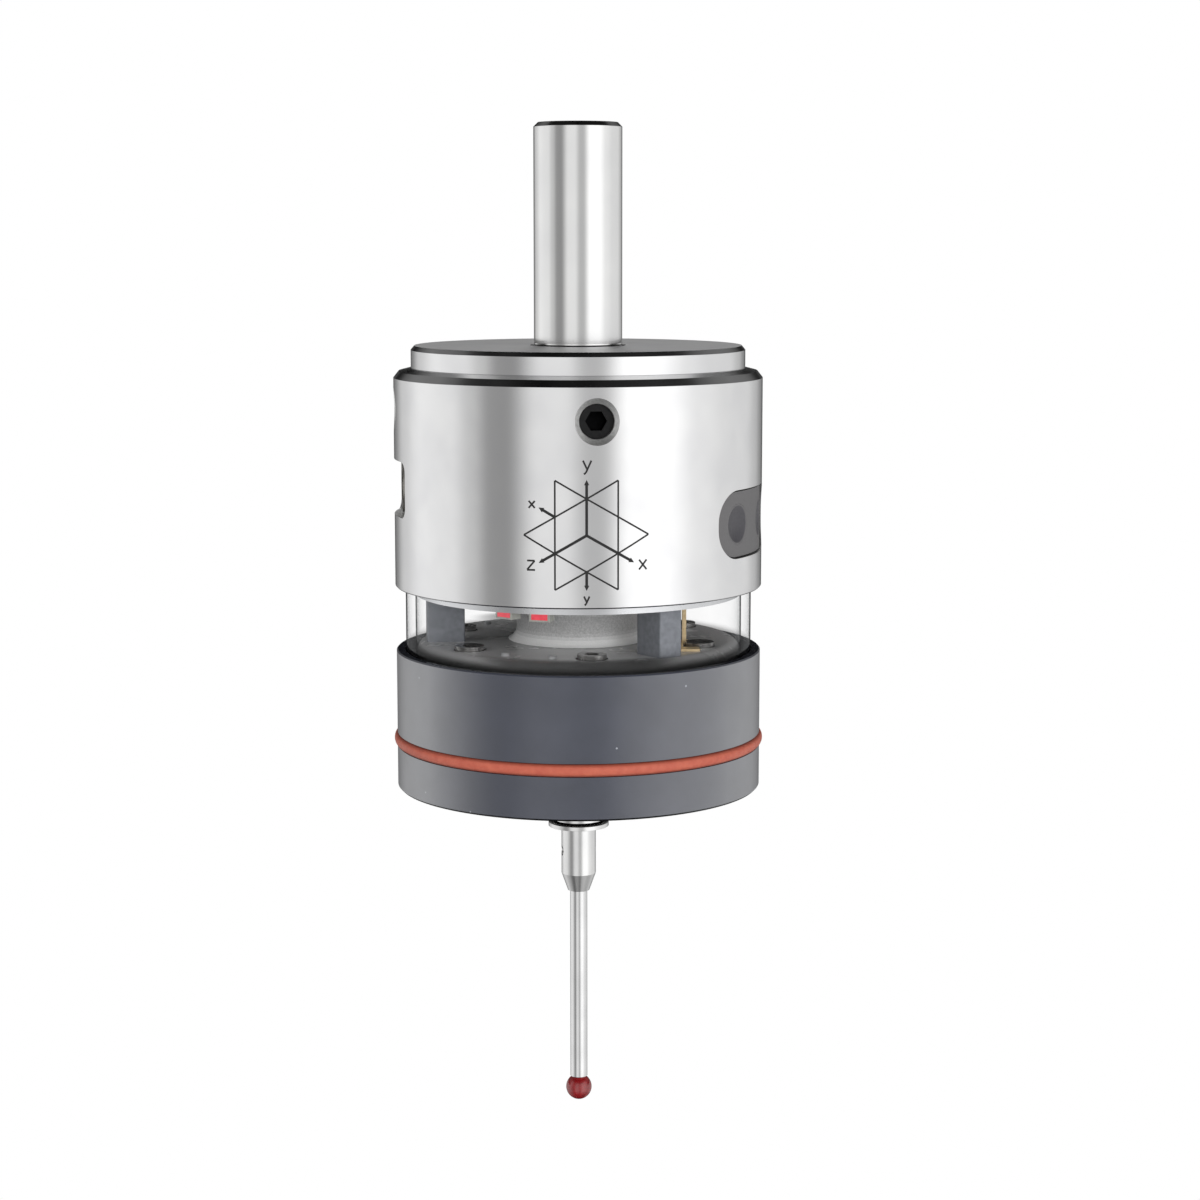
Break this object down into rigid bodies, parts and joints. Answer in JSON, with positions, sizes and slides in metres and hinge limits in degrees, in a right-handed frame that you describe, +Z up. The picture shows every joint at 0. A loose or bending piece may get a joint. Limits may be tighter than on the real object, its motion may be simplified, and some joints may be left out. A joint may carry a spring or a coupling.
{
  "type": "three-dimensional edge finder",
  "caption": "Spindle-held probe that finds workpiece edges in three axes: round shank, housing with a clear window ring and signal lamps, and a sprung stylus with a ruby ball tip.",
  "frame": {"origin": "on the axis, at the shoulder face that the shank rises from", "axes": "+Z up along the shank, away from the stylus; -Y through the front centring screw; the jack socket faces -X"},
  "size_m": [0.0424, 0.0424, 0.1136],
  "materials": {
    "ground_steel": "cylindrically ground",
    "cap_steel": "fine turned",
    "turned_steel": "turned, bright",
    "blued_steel": "black oxide",
    "washer_steel": "zinc plated",
    "keypad_film": "matt film",
    "button_rubber": "smooth silicone",
    "jack_metal": "nickel plated",
    "nut_nickel": "nickel plated",
    "green_board": "solder mask",
    "chip_black": "moulded epoxy",
    "cell_nickel": "nickel plated",
    "spring_contact": "gold flashed",
    "lamp_red": "clear red lens",
    "lamp_case": "moulded",
    "plate_metal": "turned, bright",
    "window_clear": "polished clear",
    "seal_rubber": "moulded",
    "post_metal": "dark zinc",
    "insulator": "fine matt",
    "screw_steel": "bright",
    "solder": "tinned",
    "strip_brass": "rolled",
    "anodised": "dark anodised",
    "ring_orange": "silicone",
    "drum_cast": "fine cast grain",
    "bush_brass": "turned",
    "spring_steel": "drawn wire",
    "tool_steel": "ground",
    "bearing_steel": "polished",
    "seat_ceramic": "matt",
    "carrier_steel": "turned, bright",
    "stylus_steel": "fine turned",
    "carbide": "ground",
    "ruby": "polished"
  },
  "bodies": {
    "housing": {"shank": "ground_steel", "top_cap": "cap_steel", "upper_housing": "turned_steel", "centering_screws": "blued_steel", "clamp_screw": "blued_steel", "clamp_washer": "washer_steel", "keypad_bezel": "keypad_film", "switch_board": "green_board", "jack_socket": "jack_metal", "jack_nut": "nut_nickel", "main_board": "green_board", "board_parts": "chip_black", "board_screws": "screw_steel", "battery": "cell_nickel", "battery_contacts": "spring_contact", "lamp_board": "green_board", "lamps": "lamp_case", "lamp_lenses": "lamp_red", "upper_plate": "plate_metal", "window_ring": "window_clear", "window_seals": "seal_rubber", "spacer_posts": "post_metal", "tie_screws": "blued_steel", "base_plate": "insulator", "plate_screws": "screw_steel", "contact_pads": "solder", "contact_strip": "strip_brass", "lower_housing": "anodised", "o_ring": "ring_orange", "spring_housing": "drum_cast", "guide_bush": "bush_brass", "plunge_spring": "spring_steel", "contact_ring": "seat_ceramic", "contact_balls": "bearing_steel"},
    "plunger": {"plunger": "tool_steel", "retaining_clip": "spring_steel"},
    "pivot": {"pivot_ball": "bearing_steel"},
    "carrier": {"carrier": "carrier_steel", "stylus_base": "stylus_steel", "stylus_stem": "carbide", "ruby_ball": "ruby"},
    "button_left": {"button_1": "button_rubber"},
    "button_right": {"button_2": "button_rubber"}
  },
  "joints": [
    {"name": "stylus_plunge", "type": "slide", "parent": "housing", "child": "plunger", "axis": [0, 0, 1], "range_m": [0, 0.0025], "stiffness_N_per_m": 600, "springref_m": -0.0027, "deforming": ["plunge_spring"]},
    {"name": "tilt_x", "type": "hinge", "parent": "plunger", "child": "pivot", "pos_m": [0, 0, -0.04], "axis": [1, 0, 0], "range_deg": [-6, 6], "stiffness_Nm_per_rad": 0.12},
    {"name": "tilt_y", "type": "hinge", "parent": "pivot", "child": "carrier", "pos_m": [0, 0, -0.04], "axis": [0, 1, 0], "range_deg": [-6, 6], "stiffness_Nm_per_rad": 0.12},
    {"name": "button_left_press", "type": "slide", "parent": "housing", "child": "button_left", "axis": [-0.7976, 0.6032, 0], "range_m": [0, 0.0004], "stiffness_N_per_m": 900, "springref_m": -0.0006},
    {"name": "button_right_press", "type": "slide", "parent": "housing", "child": "button_right", "axis": [-0.9636, 0.2672, 0], "range_m": [0, 0.0004], "stiffness_N_per_m": 900, "springref_m": -0.0006}
  ]
}
